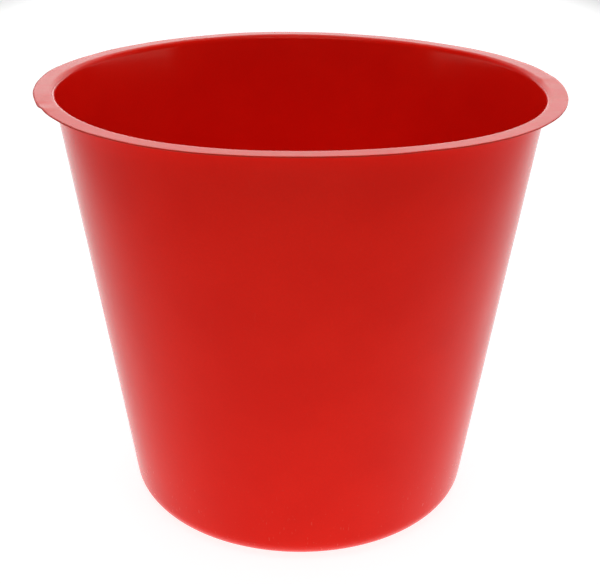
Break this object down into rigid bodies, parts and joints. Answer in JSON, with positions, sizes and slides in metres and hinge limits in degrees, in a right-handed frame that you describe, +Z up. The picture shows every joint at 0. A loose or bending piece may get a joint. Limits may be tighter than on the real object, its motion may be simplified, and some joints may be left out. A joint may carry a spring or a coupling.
{
  "type": "sand bucket",
  "caption": "Round, tapered, thin-walled plastic bucket with a flat outward rim flange, a rounded foot and no handle.",
  "frame": {"origin": "on the ground, at the middle of the base", "axes": "+Z up along the bucket's axis; the bucket is round, so +X and +Y are free, and -Y is taken as its front"},
  "size_m": [0.2, 0.2, 0.1708],
  "materials": {
    "red_plastic": "satin red moulded plastic, the same colour right through the sheet"
  },
  "bodies": {
    "root": {"bucket_shell": "red_plastic"}
  },
  "joints": []
}
